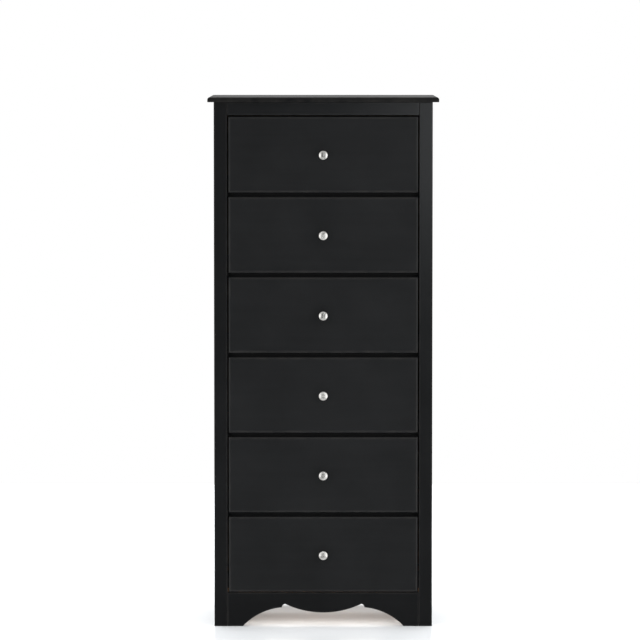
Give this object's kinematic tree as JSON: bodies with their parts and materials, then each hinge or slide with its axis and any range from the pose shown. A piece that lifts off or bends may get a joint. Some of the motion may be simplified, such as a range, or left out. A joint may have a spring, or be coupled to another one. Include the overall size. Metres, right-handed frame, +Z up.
{
  "type": "tall chest of drawers",
  "caption": "Tall narrow chest with a column of equal inset drawers on roller slides, a round knob on each, an overhanging round-edged top and a scalloped apron between straight feet.",
  "frame": {"origin": "on the floor, under the middle of the whole object's box, knobs included", "axes": "+Z up, +X to the right of someone who faces the drawers, +Y towards the back; the drawers pull out along -Y"},
  "size_m": [0.558, 0.4072, 1.283],
  "materials": {
    "black_paint": "satin black paint over wood",
    "box_wood": "clear-sealed pale wood",
    "hardboard": "smooth brown hardboard",
    "slide_steel": "pressed steel, black coated",
    "knob_nickel": "satin nickel"
  },
  "bodies": {
    "carcass": {"top_panel": "black_paint", "left_side_panel": "black_paint", "right_side_panel": "black_paint", "top_front_rail": "black_paint", "scalloped_apron": "black_paint", "back_panel": "hardboard", "rear_bottom_rail": "black_paint", "crossbar_1": "black_paint", "crossbar_2": "black_paint", "crossbar_3": "black_paint", "crossbar_4": "black_paint", "crossbar_5": "black_paint", "left_slide_1": "slide_steel", "right_slide_1": "slide_steel", "left_slide_2": "slide_steel", "right_slide_2": "slide_steel", "left_slide_3": "slide_steel", "right_slide_3": "slide_steel", "left_slide_4": "slide_steel", "right_slide_4": "slide_steel", "left_slide_5": "slide_steel", "right_slide_5": "slide_steel", "left_slide_6": "slide_steel", "right_slide_6": "slide_steel"},
    "drawer_1": {"drawer_1_front": "black_paint", "drawer_1_left_side": "box_wood", "drawer_1_right_side": "box_wood", "drawer_1_back": "box_wood", "drawer_1_bottom": "hardboard", "drawer_1_knob": "knob_nickel"},
    "drawer_2": {"drawer_2_front": "black_paint", "drawer_2_left_side": "box_wood", "drawer_2_right_side": "box_wood", "drawer_2_back": "box_wood", "drawer_2_bottom": "hardboard", "drawer_2_knob": "knob_nickel"},
    "drawer_3": {"drawer_3_front": "black_paint", "drawer_3_left_side": "box_wood", "drawer_3_right_side": "box_wood", "drawer_3_back": "box_wood", "drawer_3_bottom": "hardboard", "drawer_3_knob": "knob_nickel"},
    "drawer_4": {"drawer_4_front": "black_paint", "drawer_4_left_side": "box_wood", "drawer_4_right_side": "box_wood", "drawer_4_back": "box_wood", "drawer_4_bottom": "hardboard", "drawer_4_knob": "knob_nickel"},
    "drawer_5": {"drawer_5_front": "black_paint", "drawer_5_left_side": "box_wood", "drawer_5_right_side": "box_wood", "drawer_5_back": "box_wood", "drawer_5_bottom": "hardboard", "drawer_5_knob": "knob_nickel"},
    "drawer_6": {"drawer_6_front": "black_paint", "drawer_6_left_side": "box_wood", "drawer_6_right_side": "box_wood", "drawer_6_back": "box_wood", "drawer_6_bottom": "hardboard", "drawer_6_knob": "knob_nickel"}
  },
  "joints": [
    {"name": "drawer_1_slide", "type": "slide", "parent": "carcass", "child": "drawer_1", "axis": [0, -1, 0], "range_m": [0, 0.26]},
    {"name": "drawer_2_slide", "type": "slide", "parent": "carcass", "child": "drawer_2", "axis": [0, -1, 0], "range_m": [0, 0.26]},
    {"name": "drawer_3_slide", "type": "slide", "parent": "carcass", "child": "drawer_3", "axis": [0, -1, 0], "range_m": [0, 0.26]},
    {"name": "drawer_4_slide", "type": "slide", "parent": "carcass", "child": "drawer_4", "axis": [0, -1, 0], "range_m": [0, 0.26]},
    {"name": "drawer_5_slide", "type": "slide", "parent": "carcass", "child": "drawer_5", "axis": [0, -1, 0], "range_m": [0, 0.26]},
    {"name": "drawer_6_slide", "type": "slide", "parent": "carcass", "child": "drawer_6", "axis": [0, -1, 0], "range_m": [0, 0.26]}
  ]
}
